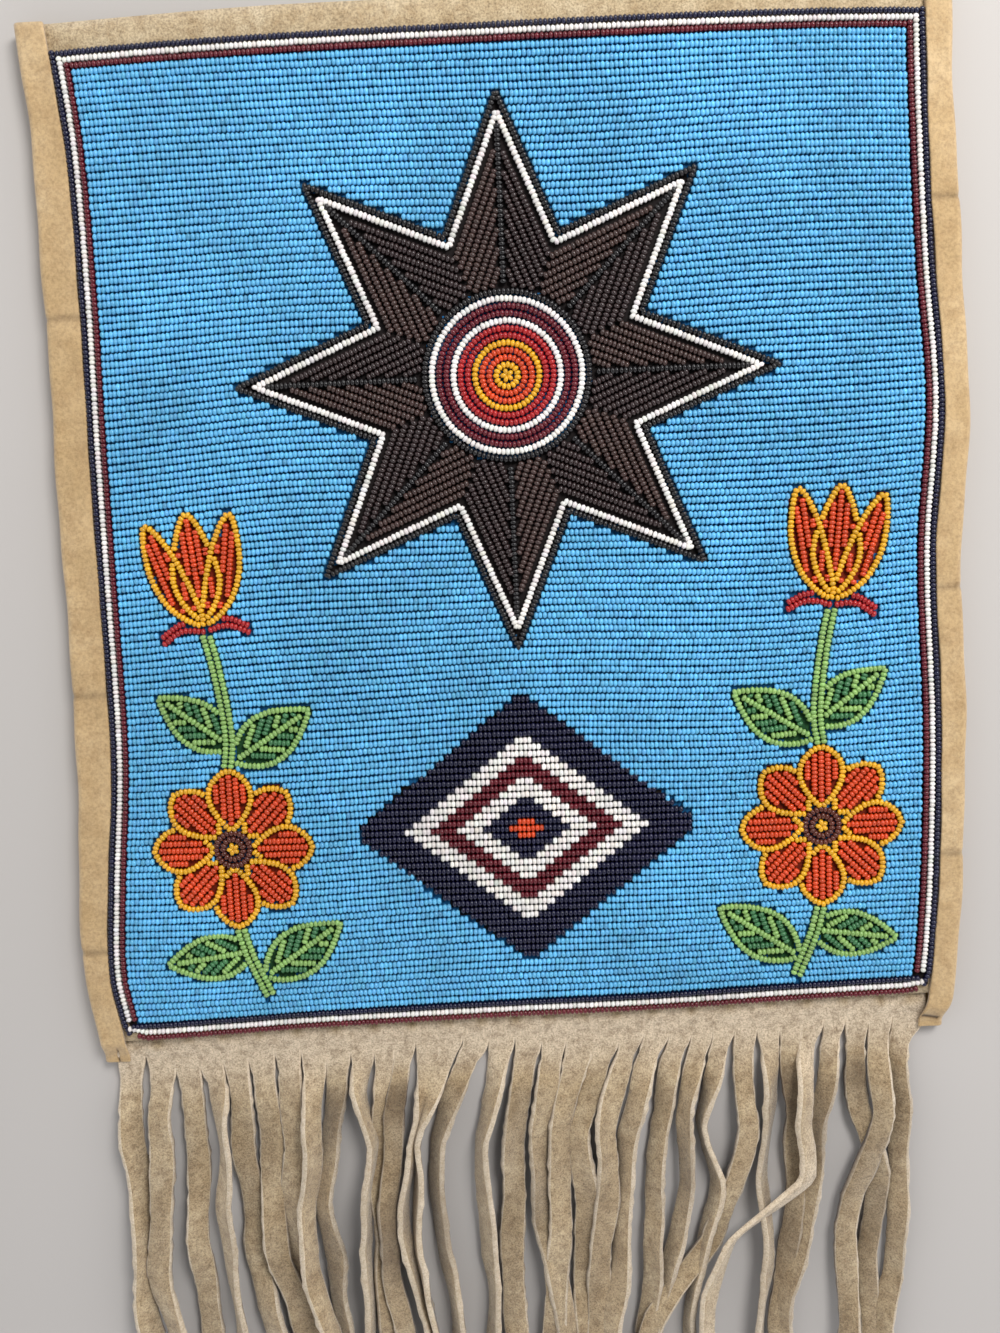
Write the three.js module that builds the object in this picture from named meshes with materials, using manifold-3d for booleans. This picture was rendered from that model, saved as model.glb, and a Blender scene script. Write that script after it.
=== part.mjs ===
// Beaded wall bag: two hide panels bound along the sides and open at the top, a beaded face and a cut fringe.
// Millimetres. The bag lies on its back: +X runs across it, +Y towards its mouth, +Z up out of the beading.
// The origin is on the flat underside of the back panel, below the middle of the beading.
import * as THREE from 'three';
import { mergeVertices } from 'three/addons/utils/BufferGeometryUtils.js';
import Module from 'manifold-3d';

// Driving dimensions
const HIDE = 1.4; // thickness of the panels and bindings
const GAP = 0.3; // clearance between pieces that touch
const BEAD_HEIGHT = 1.8; // the beading stands this far above the hide
const LANE_PITCH = 1.8; // spacing of the border's single-bead lanes
const BEAD_TOP = 138; // upper edge of the beading
const SEAM_MIDDLE = -142.1; // lower edge of the beading at x = 0
const SEAM_SLOPE = 0.0213; // the lower edge climbs to the right
const MOUTH_HEM = 8; // plain hide above the beading
const SEAM_HEM = 0.8; // plain hide below the beading
const POCKET_RISE = 4.3; // how far the front stands up off its seams in the middle

// Side bindings: folded strips over both panels' edges
const BINDING_WIDTH = { left: 10, right: 8 }; // on the whole: the outline below has the width at each height
const BINDING_DROP = { left: 7.2, right: 11.6 }; // the bindings run on this far below the beading
const BINDING_LIFT = 0.2; // underside of a binding above the surface
const PANEL_REACH = { left: 5.9, right: 5 }; // the panels' edges run out into the bindings this far

// Fringe
const FRINGE_HIDE = 1.6; // where the seam presses it
const TAB_DEPTH = 8; // the part sewn in between the panels
const TAB_INSET = 14;
const HEADER_DEPTH = 8.2; // uncut hide below the beading
const HEADER_INSET = 1.4;
const HEADER_FOOT = 0.6; // underside of the header along the cuts
const STRIP_LENGTH = 118;
const STRIP_TRIM = 8; // the strips end at different lengths, up to this much shorter
const STRIP_HIDE = 1.9; // below the seam the hide springs back to its full thickness
const STRIP_ROOT = 3; // a strip's solid starts this far inside the header
const STRIP_STEPS = [5, 14, 22, 30, 39, 48, 57, 68, 90]; // sections between a strip's root and its end
const STRIP_FILL = 0.93; // share of the spacing that a strip's width takes
const STRIP_WIDTH = { least: 5, most: 7.4 };
const FLOOR_CLEARANCE = 0.1;

// Outline of the beading and width of the bindings: left and right, at several heights
const EDGES = [
  { y: -160, left: -121.0, right: 116.6, leftBinding: 8.8, rightBinding: 8.2 },
  { y: -142, left: -122.6, right: 117.4, leftBinding: 8.6, rightBinding: 8.2 },
  { y: -125, left: -125.2, right: 119.2, leftBinding: 8.2, rightBinding: 7.8 },
  { y: -100, left: -123.6, right: 120.8, leftBinding: 9.8, rightBinding: 8.0 },
  { y: -60, left: -119.8, right: 121.6, leftBinding: 11.0, rightBinding: 8.0 },
  { y: -10, left: -119.5, right: 120.4, leftBinding: 11.0, rightBinding: 8.4 },
  { y: 32, left: -119.4, right: 123.2, leftBinding: 10.8, rightBinding: 8.0 },
  { y: 70, left: -118.9, right: 120.7, leftBinding: 11.0, rightBinding: 8.6 },
  { y: 112, left: -119.6, right: 119.0, leftBinding: 10.4, rightBinding: 8.4 },
  { y: 146, left: -123.0, right: 118.4, leftBinding: 9.2, rightBinding: 8.4 },
];

// Fringe strips from left to right: x at the cut and 14, 30, 48, 66 and 90 mm below it, the turn of the strip
// about its length in degrees, and how many strips it lies over
const STRIP_MARKS = [0, 14, 30, 48, 66, 90];
const STRIP_KEYS = ['cut', 'top', 'high', 'middle', 'low', 'foot'];
const STRIPS = [
  { cut: -122.5, top: -123.4, high: -122.4, middle: -122.2, low: -122.5, foot: -121.3, turn: -34, over: 0 },
  { cut: -113, top: -114, high: -114.4, middle: -116, low: -117, foot: -113, turn: 12, over: 1 },
  { cut: -104.8, top: -104.6, high: -104.6, middle: -104.6, low: -104.4, foot: -103.8, turn: -8, over: 0 },
  { cut: -98, top: -95.8, high: -95.2, middle: -96.6, low: -94.6, foot: -94.2, turn: 54, over: 0 },
  { cut: -90.7, top: -89.6, high: -89, middle: -88.5, low: -88, foot: -82.2, turn: 6, over: 0 },
  { cut: -82.5, top: -82, high: -81.5, middle: -81.2, low: -80.5, foot: -74.2, turn: -8, over: 0 },
  { cut: -74.5, top: -74.3, high: -74.5, middle: -75.5, low: -75.3, foot: -70, turn: 14, over: 0 },
  { cut: -66.6, top: -67, high: -68, middle: -71, low: -70.3, foot: -65.8, turn: -46, over: 1 },
  { cut: -59.5, top: -60.5, high: -63, middle: -65.6, low: -64, foot: -62, turn: 22, over: 0 },
  { cut: -51.5, top: -53.3, high: -50.4, middle: -53, low: -52.8, foot: -54.4, turn: -70, over: 0 },
  { cut: -45.2, top: -46.4, high: -47.6, middle: -49.3, low: -49, foot: -48.2, turn: -20, over: 0 },
  { cut: -39.2, top: -41.5, high: -43.5, middle: -46.6, low: -46, foot: -43.6, turn: -8, over: 1 },
  { cut: -32, top: -33, high: -37.8, middle: -41.2, low: -40.4, foot: -36, turn: -64, over: 0 },
  { cut: -25, top: -31, high: -36.6, middle: -37.2, low: -37, foot: -34.2, turn: 66, over: 0 },
  { cut: -17.4, top: -23.5, high: -30.5, middle: -31.6, low: -28.6, foot: -27, turn: 46, over: 0 },
  { cut: -9.6, top: -12, high: -17.4, middle: -16, low: -16, foot: -15.6, turn: 50, over: 0 },
  { cut: -1.4, top: -4, high: -6.8, middle: -8.6, low: -8.7, foot: -8.8, turn: -12, over: 1 },
  { cut: 6.2, top: 4, high: 0, middle: 0.6, low: 2.5, foot: 6, turn: -22, over: 0 },
  { cut: 13.5, top: 11.5, high: 6.4, middle: 6, low: 6, foot: 2.3, turn: -6, over: 1 },
  { cut: 21.8, top: 18, high: 13.3, middle: 13.4, low: 13.8, foot: 13.2, turn: 8, over: 0 },
  { cut: 29.6, top: 25.5, high: 20, middle: 20.8, low: 18.7, foot: 16, turn: -16, over: 1 },
  { cut: 37.2, top: 32.5, high: 27.5, middle: 26.2, low: 24.5, foot: 20.8, turn: 32, over: 0 },
  { cut: 44.5, top: 40.5, high: 37, middle: 35.9, low: 34, foot: 31.8, turn: 26, over: 0 },
  { cut: 51, top: 48, high: 43.6, middle: 45.2, low: 41.5, foot: 34, turn: 42, over: 0 },
  { cut: 57.3, top: 54.5, high: 50.4, middle: 53.6, low: 50, foot: 45, turn: 62, over: 0 },
  { cut: 64, top: 63, high: 63.2, middle: 59.3, low: 52, foot: 33, turn: 8, over: 1 },
  { cut: 71, top: 71.4, high: 69.8, middle: 67, low: 70, foot: 66, turn: -50, over: 0 },
  { cut: 77.7, top: 77, high: 78.3, middle: 78.5, low: 75.8, foot: 72.5, turn: 10, over: 0 },
  { cut: 84.2, top: 81, high: 80.5, middle: 79.8, low: 56.8, foot: 49.5, turn: -46, over: 2 },
  { cut: 90.8, top: 88.6, high: 85.8, middle: 82.8, low: 79.5, foot: 73.5, turn: 34, over: 0 },
  { cut: 97.2, top: 97, high: 98.2, middle: 102.6, low: 101, foot: 99.5, turn: 12, over: 0 },
  { cut: 104.6, top: 103.3, high: 103.4, middle: 98, low: 92.3, foot: 92.5, turn: 14, over: 1 },
  { cut: 111.5, top: 109.6, high: 109, middle: 109.3, low: 108.7, foot: 105, turn: 24, over: 0 },
];

// Heights through the stack of pieces at the seams
const BINDING_INSIDE = BINDING_LIFT + HIDE; // upper face of a binding's lower leg
const SIDE_LIFT = BINDING_INSIDE + GAP; // underside of the back panel in the bindings
const SEAM_Z = SIDE_LIFT + HIDE + GAP; // underside of the front panel at its seams
const BINDING_ROOF = SEAM_Z + HIDE + GAP; // underside of a binding's upper leg
const BINDING_TOP = BINDING_ROOF + HIDE;
const RAMP = { top: 2, foot: 12 }; // where the back panel climbs, measured in from the beading's edge
const BORDER_WIDTH = 3 * LANE_PITCH + GAP;

const COLOURS = {
  panel: '#c3b496',
  binding: '#cbb083',
  fringe: '#c4b498',
  ground: '#6cb4e8',
  navy: '#15173f',
  white: '#f2f0ee',
  maroon: '#6b1a2a',
};

// Smooth value from a table, for a place given in its column
function lookUp(rows, column, key, place) {
  const last = rows.length - 1;
  const p = THREE.MathUtils.clamp(place, rows[0][column], rows[last][column]);
  let i = 0;
  while (i < last - 1 && rows[i + 1][column] < p) i += 1;
  const slope = (k) => {
    const a = rows[Math.max(k - 1, 0)];
    const b = rows[Math.min(k + 1, last)];
    return (b[key] - a[key]) / (b[column] - a[column]);
  };
  const span = rows[i + 1][column] - rows[i][column];
  const t = (p - rows[i][column]) / span;
  const bend = (rows[i + 1][key] - rows[i][key]) * t * t * (3 - 2 * t);
  const lead = slope(i) * span * t * (1 - t) * (1 - t);
  const trail = slope(i + 1) * span * t * t * (1 - t);
  return rows[i][key] + bend + lead - trail;
}

const leftEdge = (y) => lookUp(EDGES, 'y', 'left', y);
const rightEdge = (y) => lookUp(EDGES, 'y', 'right', y);
const seam = (x) => SEAM_MIDDLE + SEAM_SLOPE * x;

// Underside of the front panel: lowest along its seams, crowned between them, open at the mouth
function frontUnder(x, y) {
  const left = leftEdge(y);
  const across = THREE.MathUtils.clamp((2 * (x - left)) / (rightEdge(y) - left) - 1, -1, 1);
  const up = THREE.MathUtils.clamp((y - seam(x)) / (BEAD_TOP - seam(x)), 0, 1);
  return SEAM_Z + POCKET_RISE * (1 - Math.abs(across) ** 3) * (1 - (1 - up) ** 4);
}

const frontTop = (x, y) => frontUnder(x, y) + HIDE;

// Underside of the back panel: flat on the surface, with its sides climbing into the bindings
function backUnder(x, y) {
  const inset = Math.min(x - leftEdge(y), rightEdge(y) - x);
  const climb = (RAMP.foot - inset) / (RAMP.foot - RAMP.top);
  return SIDE_LIFT * THREE.MathUtils.clamp(climb, 0, 1);
}

// Closed geometry from points and triangles, turned so that its faces point out
function closedGeometry(points, triangles) {
  let volume = 0;
  for (const [a, b, c] of triangles) {
    volume += points[a].dot(new THREE.Vector3().crossVectors(points[b], points[c]));
  }
  const index = triangles.flatMap(([a, b, c]) => (volume > 0 ? [a, b, c] : [a, c, b]));
  const geometry = new THREE.BufferGeometry().setFromPoints(points);
  geometry.setIndex(index);
  geometry.computeVertexNormals();
  return geometry;
}

// Sheet of hide on a grid: point(column, row, face) gives its lower (face 0) and upper (face 1) surface
function sheet(columns, rows, point) {
  const points = [];
  const triangles = [];
  const at = (c, r, face) => 2 * (r * columns.length + c) + face;
  for (const row of rows) {
    for (const column of columns) {
      points.push(point(column, row, 0), point(column, row, 1));
    }
  }
  const quad = (a, b, c, d) => triangles.push([a, b, c], [a, c, d]);
  const lastColumn = columns.length - 1;
  const lastRow = rows.length - 1;
  for (let r = 0; r < lastRow; r += 1) {
    for (let c = 0; c < lastColumn; c += 1) {
      quad(at(c, r, 1), at(c + 1, r, 1), at(c + 1, r + 1, 1), at(c, r + 1, 1));
      quad(at(c, r, 0), at(c, r + 1, 0), at(c + 1, r + 1, 0), at(c + 1, r, 0));
    }
    quad(at(lastColumn, r, 0), at(lastColumn, r + 1, 0), at(lastColumn, r + 1, 1), at(lastColumn, r, 1));
    quad(at(0, r + 1, 0), at(0, r, 0), at(0, r, 1), at(0, r + 1, 1));
  }
  for (let c = 0; c < lastColumn; c += 1) {
    quad(at(c, 0, 0), at(c + 1, 0, 0), at(c + 1, 0, 1), at(c, 0, 1));
    quad(at(c + 1, lastRow, 0), at(c, lastRow, 0), at(c, lastRow, 1), at(c + 1, lastRow, 1));
  }
  return closedGeometry(points, triangles);
}

// Solid swept through stations: each one places the section's points, and the ends are capped
function sweep(section, stations) {
  const points = stations.flatMap((place) => section.map(place));
  const triangles = [];
  const count = section.length;
  for (let s = 0; s < stations.length - 1; s += 1) {
    for (let j = 0; j < count; j += 1) {
      const a = s * count + j;
      const b = s * count + ((j + 1) % count);
      triangles.push([a, b, b + count], [a, b + count, a + count]);
    }
  }
  const end = (stations.length - 1) * count;
  for (const [a, b, c] of THREE.ShapeUtils.triangulateShape(section, [])) {
    triangles.push([a, c, b], [a + end, b + end, c + end]);
  }
  return closedGeometry(points, triangles);
}

function piece(name, geometry, colour, roughness) {
  const material = new THREE.MeshStandardMaterial({ color: colour, roughness, metalness: 0 });
  const mesh = new THREE.Mesh(geometry, material);
  mesh.name = name;
  return mesh;
}

const steps = (from, to, count) => (
  Array.from({ length: count + 1 }, (_, i) => from + ((to - from) * i) / count)
);

// Places across a sheet: a share of the way from the left edge to the right, and a distance past that
const COLUMN_SHARES = [0, 0.03, 0.09, 0.175, 0.275, 0.385, 0.5, 0.615, 0.725, 0.825, 0.91, 0.97, 1];
const ROW_SHARES = [
  0, 0.03, 0.07, 0.12, 0.18, 0.24, 0.3, 0.37, 0.44, 0.51, 0.58, 0.65, 0.72, 0.79, 0.86, 0.93, 1,
];

// Point of the beading's outline rectangle: shares across and up it, kept in from its edges by a margin
function facePoint(across, up, margin) {
  const wide = leftEdge(0) + (rightEdge(0) - leftEdge(0)) * across;
  const low = seam(wide) + margin;
  const y = low + (BEAD_TOP - margin - low) * up;
  const left = leftEdge(y) + margin;
  const x = left + (rightEdge(y) - margin - left) * across;
  return { x, y };
}

// A panel's grid runs past the beading: into the bindings at the sides, to the mouth, and to the lower hem
function panel(under, columns) {
  const ends = [
    { across: 0, past: -PANEL_REACH.left },
    { across: 1, past: PANEL_REACH.right },
  ];
  const grid = [ends[0], ...columns, ends[1]];
  const rows = [
    { up: 0, past: -SEAM_HEM },
    ...ROW_SHARES.map((up) => ({ up, past: 0 })),
    { up: 1, past: MOUTH_HEM },
  ];
  return sheet(grid, rows, (column, row, face) => {
    const base = facePoint(column.across, row.up, 0);
    const y = base.y + row.past;
    const left = leftEdge(y);
    const x = left + (rightEdge(y) - left) * column.across + column.past;
    return new THREE.Vector3(x, y, under(x, y) + face * HIDE);
  });
}

function frontPanel() {
  const columns = COLUMN_SHARES.map((across) => ({ across, past: 0 }));
  return piece('front_panel', panel(frontUnder, columns), COLOURS.panel, 0.9);
}

function backPanel() {
  const columns = [
    { across: 0, past: RAMP.top },
    { across: 0, past: RAMP.foot },
    { across: 0.35, past: 0 },
    { across: 0.65, past: 0 },
    { across: 1, past: -RAMP.foot },
    { across: 1, past: -RAMP.top },
  ];
  return piece('back_panel', panel(backUnder, columns), COLOURS.panel, 0.9);
}

function beadField() {
  const field = sheet(COLUMN_SHARES, ROW_SHARES, (across, up, face) => {
    const { x, y } = facePoint(across, up, BORDER_WIDTH);
    return new THREE.Vector3(x, y, frontTop(x, y) + GAP + face * BEAD_HEIGHT);
  });
  return piece('bead_field', field, COLOURS.ground, 0.4);
}

// Folded strip with a rounded outer edge: its section is drawn outwards from the beading's edge, and up
function bindingSection(width) {
  const middle = (BINDING_LIFT + BINDING_TOP) / 2;
  const round = BINDING_TOP - middle;
  const arc = (radius, from, to) => steps(from, to, 4).map((angle) => new THREE.Vector2(
    width - round * 0.6 + radius * 0.6 * Math.cos(angle),
    middle + radius * Math.sin(angle),
  ));
  const outer = arc(round, -Math.PI / 2, Math.PI / 2);
  const inner = arc(round - HIDE, Math.PI / 2, -Math.PI / 2);
  return [
    new THREE.Vector2(0.4, BINDING_LIFT),
    ...outer,
    new THREE.Vector2(0.4, BINDING_TOP),
    new THREE.Vector2(0.4, BINDING_ROOF),
    ...inner,
    new THREE.Vector2(0.4, BINDING_INSIDE),
  ];
}

function binding(side) {
  const out = side === 'left' ? -1 : 1;
  const edge = side === 'left' ? leftEdge : rightEdge;
  // It bends at the same heights as the border's lane beside it
  const corner = seam(edge(SEAM_MIDDLE));
  const beside = ROW_SHARES.map((share) => THREE.MathUtils.lerp(corner + GAP, BEAD_TOP - GAP, share));
  const stations = [corner - BINDING_DROP[side], ...beside, BEAD_TOP + MOUTH_HEM].map((y) => {
    const stretch = lookUp(EDGES, 'y', `${side}Binding`, y) / BINDING_WIDTH[side];
    return (p) => new THREE.Vector3(edge(y) + out * stretch * p.x, y, p.y);
  });
  const folded = sweep(bindingSection(BINDING_WIDTH[side]), stations);
  return piece(`side_binding_${side}`, folded, COLOURS.binding, 0.85);
}

// Rounded string of beads along the face
const STRING_SECTION = steps(0, 2 * Math.PI, 8).slice(0, 8).map((angle) => (
  new THREE.Vector2(((LANE_PITCH - GAP) / 2) * Math.cos(angle), (BEAD_HEIGHT / 2) * Math.sin(angle))
));

function beadString(name, colour, points, across) {
  const stations = points.map(({ x, y }) => (p) => new THREE.Vector3(
    x + across.x * p.x,
    y + across.y * p.x,
    frontTop(x, y) + GAP + BEAD_HEIGHT / 2 + p.y,
  ));
  return piece(name, sweep(STRING_SECTION, stations), colour, 0.35);
}

// The border's lanes, counted in from the beading's edge; at the bottom the colours run the other way
function border() {
  const order = ['navy', 'white', 'maroon'];
  const strings = [];
  order.forEach((colour, i) => {
    const inset = (i + 0.5) * LANE_PITCH;
    const bottomInset = (order.length - i - 0.5) * LANE_PITCH;
    const top = BEAD_TOP - inset;
    const foot = (x) => seam(x) + (i === 0 ? -LANE_PITCH / 2 : order.length * LANE_PITCH);
    const head = i === 0 ? BEAD_TOP : top + LANE_PITCH / 2;
    const sideEnds = { low: LANE_PITCH / 2, high: GAP };
    for (const side of ['left', 'right']) {
      const edge = side === 'left' ? leftEdge : rightEdge;
      const inwards = side === 'left' ? 1 : -1;
      const low = foot(edge(SEAM_MIDDLE)) + sideEnds.low + GAP;
      const high = head - sideEnds.high;
      const points = ROW_SHARES.map((share) => {
        const y = low + (high - low) * share;
        return { x: edge(y) + inwards * inset, y };
      });
      strings.push(beadString(`border_${side}_${colour}`, COLOURS[colour], points, { x: 1, y: 0 }));
    }
    const run = (y, margin) => steps(0, 1, 12).map((share) => {
      const left = leftEdge(y) + margin;
      return left + (rightEdge(y) - margin - left) * share;
    });
    const beside = inset + LANE_PITCH / 2 + GAP;
    const topPoints = run(top, beside).map((x) => ({ x, y: top }));
    strings.push(beadString(`border_top_${colour}`, COLOURS[colour], topPoints, { x: 0, y: 1 }));
    const bottomMargin = LANE_PITCH + GAP;
    const bottomPoints = run(SEAM_MIDDLE, bottomMargin).map((x) => ({ x, y: seam(x) + bottomInset }));
    strings.push(beadString(`border_bottom_${colour}`, COLOURS[colour], bottomPoints, { x: 0, y: 1 }));
  });
  return strings;
}

// Fringe: a header sewn in between the panels, and strips that come down from it on to the surface
function fringeHeader() {
  const rows = [
    { below: -TAB_DEPTH, inset: TAB_INSET, z: HIDE + GAP },
    { below: SEAM_HEM + GAP, inset: TAB_INSET, z: HIDE + GAP },
    { below: SEAM_HEM + 2 * GAP, inset: HEADER_INSET, z: HIDE + GAP - 0.05 },
    { below: HEADER_DEPTH / 2, inset: HEADER_INSET, z: HIDE },
    { below: HEADER_DEPTH, inset: HEADER_INSET, z: HEADER_FOOT },
  ];
  return sheet(steps(0, 1, 10), rows, (across, row, face) => {
    const left = leftEdge(SEAM_MIDDLE) + row.inset;
    const x = left + (rightEdge(SEAM_MIDDLE) - row.inset - left) * across;
    return new THREE.Vector3(x, seam(x) - row.below, row.z + face * FRINGE_HIDE);
  });
}

function fringeStrip(strip, index) {
  const before = STRIPS[Math.max(index - 1, 0)].cut;
  const after = STRIPS[Math.min(index + 1, STRIPS.length - 1)].cut;
  const spacing = (after - before) / (index > 0 && index < STRIPS.length - 1 ? 2 : 1);
  const width = THREE.MathUtils.clamp(spacing * STRIP_FILL, STRIP_WIDTH.least, STRIP_WIDTH.most);
  const bends = STRIP_KEYS.map((key, i) => ({ down: STRIP_MARKS[i], x: strip[key] }));
  bends.push({ down: STRIP_LENGTH, x: 1.4 * strip.foot - 0.4 * strip.low });
  const length = STRIP_LENGTH - STRIP_TRIM * (0.5 + 0.5 * Math.sin(2.4 * index));
  const top = seam(strip.cut) - HEADER_DEPTH;
  // A strip that reaches out under the left binding starts just below the binding's end
  const outside = strip.cut - width / 2 < leftEdge(SEAM_MIDDLE) + HEADER_INSET;
  const root = outside ? (HEADER_DEPTH - BINDING_DROP.left) / 2 : STRIP_ROOT;
  const rootZ = HEADER_FOOT + FRINGE_HIDE / 2;
  const section = [[-1, -1], [1, -1], [1, 1], [-1, 1]].map(([a, b]) => new THREE.Vector2(a / 2, b / 2));
  const stations = [-root, ...STRIP_STEPS, length].map((down) => {
    const turned = THREE.MathUtils.smoothstep(down, 2, 34);
    const turn = THREE.MathUtils.degToRad(strip.turn) * turned;
    const x = lookUp(bends, 'down', 'x', down);
    const half = (width * Math.abs(Math.sin(turn)) + STRIP_HIDE * Math.cos(turn)) / 2;
    const lying = FLOOR_CLEARANCE + half + strip.over * STRIP_HIDE * THREE.MathUtils.smoothstep(down, 8, 40);
    const z = THREE.MathUtils.lerp(rootZ, lying, THREE.MathUtils.smoothstep(down, 0, 14));
    const thick = down < 0 ? 0.9 * STRIP_HIDE : STRIP_HIDE;
    return (p) => new THREE.Vector3(
      x + p.x * width * Math.cos(turn) - p.y * thick * Math.sin(turn),
      top - down,
      z + p.x * width * Math.sin(turn) + p.y * thick * Math.cos(turn),
    );
  });
  return sweep(section, stations);
}

const wasm = await Module();
wasm.setup();

function toManifold(geometry) {
  const bare = geometry.clone();
  bare.deleteAttribute('normal');
  const merged = mergeVertices(bare);
  return new wasm.Manifold(new wasm.Mesh({
    numProp: 3,
    vertProperties: new Float32Array(merged.attributes.position.array),
    triVerts: new Uint32Array(merged.index.array),
  }));
}

function fromManifold(solid) {
  const mesh = solid.getMesh();
  const geometry = new THREE.BufferGeometry();
  geometry.setAttribute('position', new THREE.BufferAttribute(new Float32Array(mesh.vertProperties), 3));
  geometry.setIndex(new THREE.BufferAttribute(new Uint32Array(mesh.triVerts), 1));
  geometry.computeVertexNormals();
  return geometry;
}

function fringe() {
  let solid = toManifold(fringeHeader());
  STRIPS.forEach((strip, index) => {
    solid = solid.add(toManifold(fringeStrip(strip, index)));
  });
  // Strips that cross can close in a small pocket of air: only the outer shell is kept
  const shells = solid.decompose();
  const outer = shells.reduce((best, shell) => (shell.volume() > best.volume() ? shell : best));
  return piece('fringe', fromManifold(outer), COLOURS.fringe, 0.95);
}

const bag = new THREE.Group();
bag.add(backPanel(), frontPanel(), binding('left'), binding('right'), beadField(), ...border(), fringe());

export default bag;
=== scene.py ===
"""Beaded wall bag on its back: seed beads, hide panels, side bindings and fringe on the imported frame."""
import math
from collections import namedtuple

import bpy
import numpy as np
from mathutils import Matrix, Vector


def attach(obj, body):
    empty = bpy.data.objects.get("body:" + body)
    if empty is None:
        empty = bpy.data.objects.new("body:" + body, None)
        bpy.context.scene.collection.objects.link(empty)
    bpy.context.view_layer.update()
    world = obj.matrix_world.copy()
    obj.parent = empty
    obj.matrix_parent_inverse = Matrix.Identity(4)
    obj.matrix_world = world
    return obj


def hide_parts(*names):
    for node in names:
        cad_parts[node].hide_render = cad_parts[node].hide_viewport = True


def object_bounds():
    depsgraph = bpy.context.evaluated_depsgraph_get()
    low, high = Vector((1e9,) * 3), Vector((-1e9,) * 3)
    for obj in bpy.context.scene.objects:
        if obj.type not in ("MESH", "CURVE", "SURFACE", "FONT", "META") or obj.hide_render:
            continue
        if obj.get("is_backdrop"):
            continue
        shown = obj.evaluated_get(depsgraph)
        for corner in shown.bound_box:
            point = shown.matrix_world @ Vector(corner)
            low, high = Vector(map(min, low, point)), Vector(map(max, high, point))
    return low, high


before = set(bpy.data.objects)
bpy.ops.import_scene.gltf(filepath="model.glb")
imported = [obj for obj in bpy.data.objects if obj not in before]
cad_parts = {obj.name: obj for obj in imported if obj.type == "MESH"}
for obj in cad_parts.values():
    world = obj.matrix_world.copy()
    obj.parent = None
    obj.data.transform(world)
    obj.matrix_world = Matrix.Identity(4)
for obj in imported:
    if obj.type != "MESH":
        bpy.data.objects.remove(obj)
CAD_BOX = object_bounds()

# Sizes in millimetres, as in the part's source
MM = 0.001
HIDE = 1.4  # thickness of the panels and bindings
GAP = 0.3  # clearance between pieces that touch
BEAD_HEIGHT = 1.8  # the beading stands this far above the hide
LANE_PITCH = 1.8  # spacing of the border's single-bead lanes
LANE_SHIFT = 0.35  # the lanes lie this much nearer to the bindings than half their spacing
BORDER_WIDTH = 3 * LANE_PITCH - LANE_SHIFT + 0.1
BEAD_TOP = 138.0  # upper edge of the beading
MOUTH = BEAD_TOP + 8.0  # upper edge of the hide
SEAM_MIDDLE = -142.1  # lower edge of the beading at x = 0
SEAM_SLOPE = 0.0213  # the lower edge climbs to the right
SEAM_HEM = 0.8  # plain hide below the beading
CORNER_SAG = 0.9  # the beading hangs this far below the seam at its left corner
MIDDLE_SAG = 0.5  # and this far to the right of the middle
POCKET_RISE = 4.3  # how far the front stands up off its seams in the middle
PANEL_REACH = {"left": 5.9, "right": 5.0}  # the panels' edges run out into the bindings this far
RAMP_TOP, RAMP_FOOT = 2.0, 12.0  # insets between which the back panel climbs into the bindings
BINDING_LIFT = 0.2  # underside of a binding above the surface
BINDING_DROP = {"left": 8.4, "right": 11.6}  # the bindings run on this far below the beading
BINDING_CREASES = {"left": (-118.0, -41.0, 66.0), "right": (-98.0, -20.0, 88.0)}  # heights of the creases
BINDING_PULL = {"left": 0.0, "right": 2.0}  # the bindings' lower ends are drawn in this far
BINDING_PRESSED = 0.42  # and lose this share of their height
BINDING_ROUND = 0.6  # depth of the fold's rounding, as a share of its half height

# Heights through the stack of pieces at the seams
BINDING_INSIDE = BINDING_LIFT + HIDE
SIDE_LIFT = BINDING_INSIDE + GAP
SEAM_Z = SIDE_LIFT + HIDE + GAP
BINDING_ROOF = SEAM_Z + HIDE + GAP
BINDING_TOP = BINDING_ROOF + HIDE

# Outline of the beading and width of the bindings: height, left edge, right edge, left width, right width
EDGES = np.array([
    (-160, -121.0, 116.6, 8.8, 8.2),
    (-142, -122.6, 117.4, 8.6, 8.2),
    (-125, -125.2, 119.2, 8.2, 7.8),
    (-100, -123.6, 120.8, 9.8, 8.0),
    (-60, -119.8, 121.6, 11.0, 8.0),
    (-10, -119.5, 120.4, 11.0, 8.4),
    (32, -119.4, 123.2, 10.8, 8.0),
    (70, -118.9, 120.7, 11.0, 8.6),
    (112, -119.6, 119.0, 10.4, 8.4),
    (146, -123.0, 118.4, 9.2, 8.4),
])

# Fringe
FRINGE_HIDE = 1.6  # where the seam presses it
STRIP_HIDE = 1.9  # thickness of the strips
HEADER_DEPTH = 8.2  # uncut hide below the beading
HEADER_TUCK = 2.0  # the header reaches this far in between the panels
HEADER_FOOT = 0.6  # underside of the header along the cuts
HEADER_ROWS = 9  # rows of points from under the seam down to the level of the cuts
STITCH_PITCH = 10.8  # the seam's stitches draw in the hide this far apart
STITCH_DIMPLE = 0.9  # and this deep
STRIP_LENGTH = 118.0
STRIP_TRIM = 8.0  # the strips end at different lengths, up to this much shorter
STRIP_FILL = 0.93  # share of the spacing that a strip's width takes
STRIP_WIDTH = (5.0, 7.4)  # least and most
STRIP_ACROSS = np.array([-1, -0.87, -0.5, 0, 0.5, 0.87, 1])  # points across a strip, shares of its half width
STRIP_ROUND = np.array([0.7, 0.98, 1, 1, 1, 0.98, 0.7])  # share of its thickness there
FLOOR_CLEARANCE = 0.1

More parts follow.
